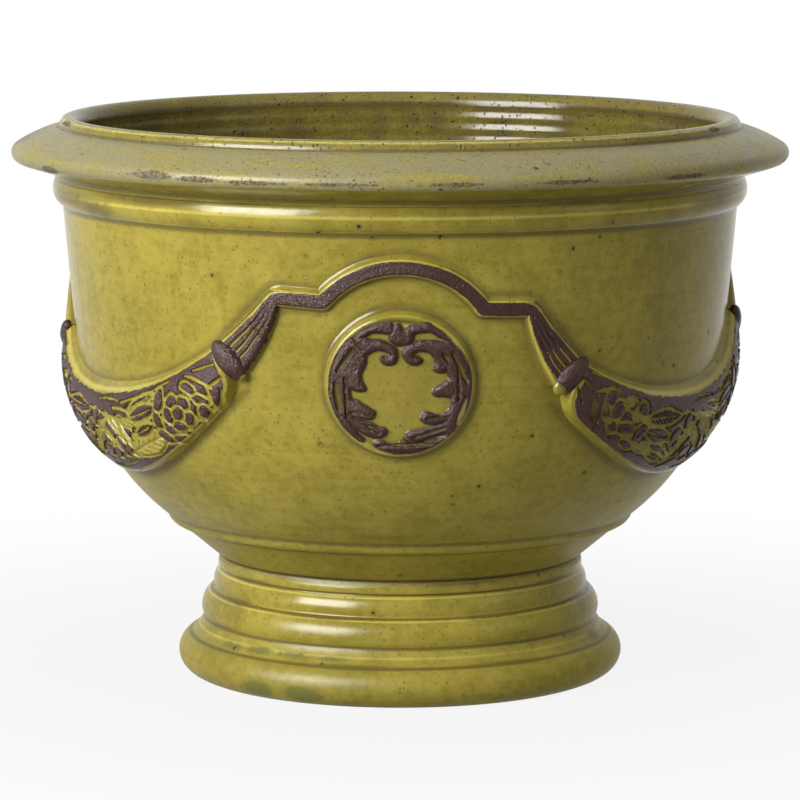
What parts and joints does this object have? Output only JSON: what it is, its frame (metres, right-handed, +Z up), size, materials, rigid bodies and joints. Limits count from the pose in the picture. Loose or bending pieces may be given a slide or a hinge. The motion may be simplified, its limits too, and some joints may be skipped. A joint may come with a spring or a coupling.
{
  "type": "garland urn planter",
  "caption": "Large glazed earthenware urn planter with a wide sloping rim, a round belly hung with leaf garlands and medallions in relief, and a ringed pedestal foot that is open underneath.",
  "frame": {"origin": "centre of the circle that the foot stands on, at floor level", "axes": "+Z up along the axis the pot is thrown on, the front medallion faces -Y"},
  "size_m": [0.62, 0.62, 0.4482],
  "materials": {
    "yellow_glaze": "gloss glaze, speckled",
    "brown_slip": "satin iron slip"
  },
  "bodies": {
    "root": {"pedestal_foot": "yellow_glaze", "bowl": "yellow_glaze", "rim_ring": "yellow_glaze", "medallion_1": "yellow_glaze", "garland_1": "yellow_glaze", "medallion_scroll_left_1": "brown_slip", "medallion_scroll_right_1": "brown_slip", "medallion_palmette_1": "brown_slip", "medallion_base_leaf_1": "brown_slip", "garland_flowers_1": "brown_slip", "garland_leaves_1": "brown_slip", "garland_bands_1": "brown_slip", "ribbon_1": "brown_slip", "drape_left_1": "brown_slip", "drape_right_1": "brown_slip", "tie_left_1": "brown_slip", "tie_right_1": "brown_slip", "medallion_2": "yellow_glaze", "garland_2": "yellow_glaze", "medallion_scroll_left_2": "brown_slip", "medallion_scroll_right_2": "brown_slip", "medallion_palmette_2": "brown_slip", "medallion_base_leaf_2": "brown_slip", "garland_flowers_2": "brown_slip", "garland_leaves_2": "brown_slip", "garland_bands_2": "brown_slip", "ribbon_2": "brown_slip", "drape_left_2": "brown_slip", "drape_right_2": "brown_slip", "tie_left_2": "brown_slip", "tie_right_2": "brown_slip", "medallion_3": "yellow_glaze", "garland_3": "yellow_glaze", "medallion_scroll_left_3": "brown_slip", "medallion_scroll_right_3": "brown_slip", "medallion_palmette_3": "brown_slip", "medallion_base_leaf_3": "brown_slip", "garland_flowers_3": "brown_slip", "garland_leaves_3": "brown_slip", "garland_bands_3": "brown_slip", "ribbon_3": "brown_slip", "drape_left_3": "brown_slip", "drape_right_3": "brown_slip", "tie_left_3": "brown_slip", "tie_right_3": "brown_slip"}
  },
  "joints": []
}
